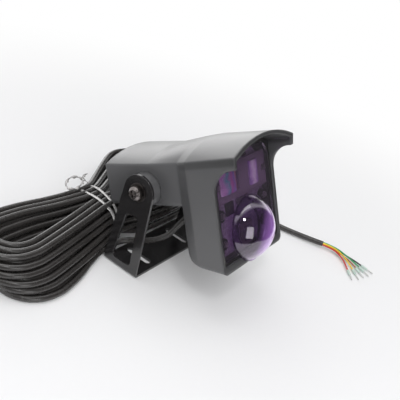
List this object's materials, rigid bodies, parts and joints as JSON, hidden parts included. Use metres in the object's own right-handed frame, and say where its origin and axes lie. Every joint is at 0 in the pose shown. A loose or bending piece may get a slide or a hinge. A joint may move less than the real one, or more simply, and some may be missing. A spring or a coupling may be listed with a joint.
{
  "type": "infrared presence sensor",
  "caption": "Presence sensor: a visored moulded hood with a violet window and dome, tilting in a U-bracket, with a coiled cable ending in ferruled wires.",
  "frame": {"origin": "middle of the bracket base's mounting face", "axes": "+Z from the mounting face up to the tilt axis, front of the sensor towards -Y, +X to the viewer's right"},
  "size_m": [0.2798, 0.2334, 0.1288],
  "materials": {
    "bracket_paint": "semi-gloss black",
    "hood_plastic": "fine-grained charcoal",
    "window_tint": "clear violet tint",
    "seal_rubber": "matt black",
    "board_laminate": "satin green",
    "optic_plastic": "clear",
    "part_plastic": "matt black",
    "steel": "bright plated",
    "brass": "bright",
    "can_metal": "bright",
    "detector_metal": "bright",
    "cable_sheath": "satin black",
    "tie_strip": "silver",
    "wire_red": "satin",
    "wire_yellow": "satin",
    "wire_brown": "satin",
    "wire_green": "satin",
    "wire_black": "satin",
    "collar_mint": "satin",
    "tin": "tinned"
  },
  "bodies": {
    "bracket": {"bracket": "bracket_paint", "cable_lead": "cable_sheath", "cable_hank": "cable_sheath", "cable_tie": "tie_strip", "cable_tail": "cable_sheath", "wire_red": "wire_red", "wire_yellow": "wire_yellow", "wire_brown": "wire_brown", "wire_green": "wire_green", "wire_black": "wire_black", "ferrule_collars": "collar_mint", "ferrule_pins": "tin"},
    "sensor": {"hood": "hood_plastic", "pivot_boss_left": "hood_plastic", "flat_washer_left": "steel", "lock_washer_left": "steel", "pivot_screw_left": "steel", "pivot_nut_left": "brass", "pivot_boss_right": "hood_plastic", "flat_washer_right": "steel", "lock_washer_right": "steel", "pivot_screw_right": "steel", "pivot_nut_right": "brass", "window_frame": "hood_plastic", "front_window": "window_tint", "window_seal": "seal_rubber", "dome_lens": "window_tint", "circuit_board": "board_laminate", "board_posts": "hood_plastic", "board_pads": "part_plastic", "board_screws": "steel", "lens_carrier": "part_plastic", "carrier_spacers": "brass", "carrier_screws": "steel", "receiver_lens": "optic_plastic", "emitter_lens": "optic_plastic", "indicator_lamps": "optic_plastic", "processor": "part_plastic", "capacitors": "can_metal", "detector_block": "part_plastic", "detector_element": "detector_metal", "gland_body": "part_plastic", "gland_locknut": "part_plastic", "gland_cap": "part_plastic"}
  },
  "joints": [
    {"name": "sensor_tilt", "type": "hinge", "parent": "bracket", "child": "sensor", "pos_m": [0, 0, 0.066], "axis": [-1, 0, 0], "range_deg": [-32, 35], "deforming": ["cable_lead"]}
  ]
}
